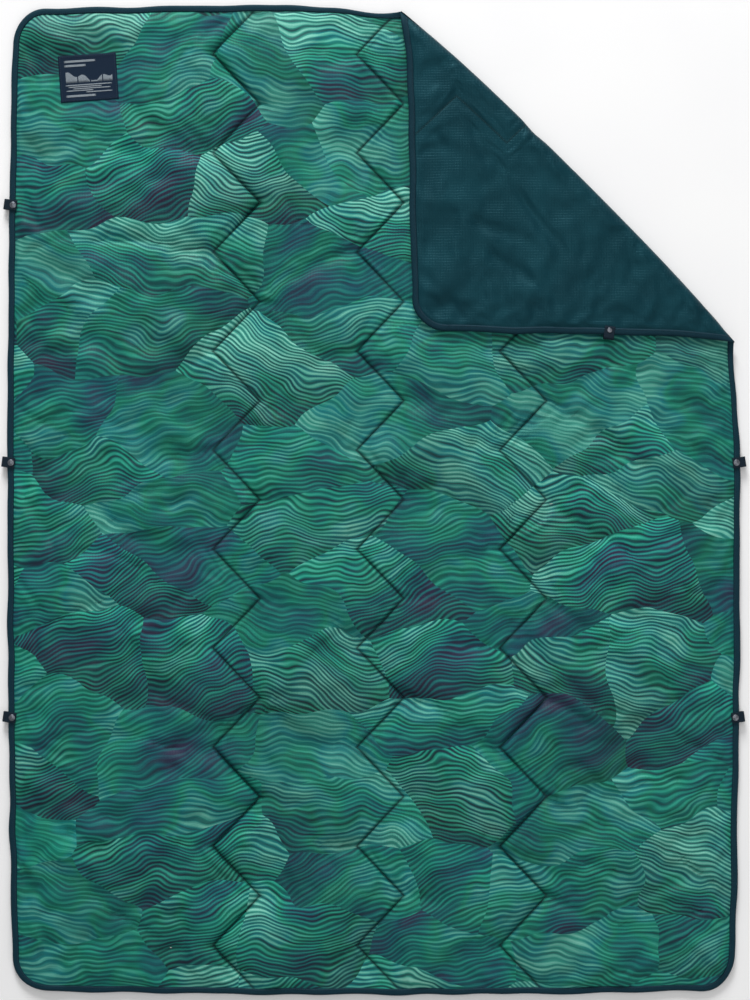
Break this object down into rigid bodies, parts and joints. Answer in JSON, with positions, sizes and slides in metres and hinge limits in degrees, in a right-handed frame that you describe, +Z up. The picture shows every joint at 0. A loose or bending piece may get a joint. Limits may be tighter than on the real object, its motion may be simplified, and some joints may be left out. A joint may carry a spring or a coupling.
{
  "type": "camp blanket",
  "caption": "Quilted synthetic-fill camp blanket with a bound edge, snap loops on its long sides and one corner turned over.",
  "frame": {"origin": "middle of the blanket's footprint, on the surface that it lies on", "axes": "+X across the blanket, +Y along it towards its head end (label end), +Z up out of the printed front"},
  "size_m": [1.3774, 1.83, 0.032],
  "materials": {
    "front_fabric": "printed ripstop, soft satin",
    "back_fabric": "plain ripstop, soft satin",
    "fill": "matte fibre fill",
    "binding_tape": "matte woven tape",
    "thread": "spun thread",
    "label_weave": "matte woven label",
    "loop_webbing": "matte woven webbing",
    "snap_metal": "satin nickel"
  },
  "bodies": {
    "blanket": {"front_shell_main": "front_fabric", "back_shell_main": "back_fabric", "insulation_main": "fill", "edge_binding_main": "binding_tape", "quilting_thread_left": "thread", "quilting_thread_centre": "thread", "quilting_thread_right_main": "thread", "woven_label": "label_weave", "snap_left_head_strap": "loop_webbing", "snap_left_head_stud": "snap_metal", "snap_left_head_post": "snap_metal", "snap_left_middle_strap": "loop_webbing", "snap_left_middle_stud": "snap_metal", "snap_left_middle_post": "snap_metal", "snap_left_foot_strap": "loop_webbing", "snap_left_foot_stud": "snap_metal", "snap_left_foot_post": "snap_metal", "snap_right_middle_strap": "loop_webbing", "snap_right_middle_stud": "snap_metal", "snap_right_middle_post": "snap_metal", "snap_right_foot_strap": "loop_webbing", "snap_right_foot_stud": "snap_metal", "snap_right_foot_post": "snap_metal"},
    "corner": {"front_shell_corner": "front_fabric", "back_shell_corner": "back_fabric", "insulation_corner": "fill", "edge_binding_corner": "binding_tape", "quilting_thread_right_corner": "thread", "snap_right_head_strap": "loop_webbing", "snap_right_head_stud": "snap_metal", "snap_right_head_post": "snap_metal"},
    "tab_left_head": {"snap_left_head_tab": "loop_webbing", "snap_left_head_cap": "snap_metal", "snap_left_head_socket": "snap_metal"},
    "tab_left_middle": {"snap_left_middle_tab": "loop_webbing", "snap_left_middle_cap": "snap_metal", "snap_left_middle_socket": "snap_metal"},
    "tab_left_foot": {"snap_left_foot_tab": "loop_webbing", "snap_left_foot_cap": "snap_metal", "snap_left_foot_socket": "snap_metal"},
    "tab_right_head": {"snap_right_head_tab": "loop_webbing", "snap_right_head_cap": "snap_metal", "snap_right_head_socket": "snap_metal"},
    "tab_right_middle": {"snap_right_middle_tab": "loop_webbing", "snap_right_middle_cap": "snap_metal", "snap_right_middle_socket": "snap_metal"},
    "tab_right_foot": {"snap_right_foot_tab": "loop_webbing", "snap_right_foot_cap": "snap_metal", "snap_right_foot_socket": "snap_metal"}
  },
  "joints": [
    {"name": "corner_fold", "type": "hinge", "parent": "blanket", "child": "corner", "pos_m": [0.489, 0.489, 0.016], "axis": [-0.7071, 0.7071, 0], "range_deg": [0, 180]},
    {"name": "tab_left_head_hinge", "type": "hinge", "parent": "blanket", "child": "tab_left_head", "pos_m": [-0.68363, 0.54646, 0.0081], "axis": [-0.1392, -0.9903, 0], "range_deg": [0, 150]},
    {"name": "tab_left_middle_hinge", "type": "hinge", "parent": "blanket", "child": "tab_left_middle", "pos_m": [-0.68749, 0.07078, 0.0081], "axis": [-0.1392, -0.9903, 0], "range_deg": [0, 150]},
    {"name": "tab_left_foot_hinge", "type": "hinge", "parent": "blanket", "child": "tab_left_foot", "pos_m": [-0.68543, -0.39994, 0.0081], "axis": [-0.1392, -0.9903, 0], "range_deg": [0, 150]},
    {"name": "tab_right_head_hinge", "type": "hinge", "parent": "corner", "child": "tab_right_head", "pos_m": [0.43154, 0.29436, 0.0239], "axis": [-0.9903, 0.1392, 0], "range_deg": [0, 6]},
    {"name": "tab_right_middle_hinge", "type": "hinge", "parent": "blanket", "child": "tab_right_middle", "pos_m": [0.68749, 0.07078, 0.0081], "axis": [-0.1392, 0.9903, 0], "range_deg": [0, 150]},
    {"name": "tab_right_foot_hinge", "type": "hinge", "parent": "blanket", "child": "tab_right_foot", "pos_m": [0.68543, -0.39994, 0.0081], "axis": [-0.1392, 0.9903, 0], "range_deg": [0, 150]}
  ]
}
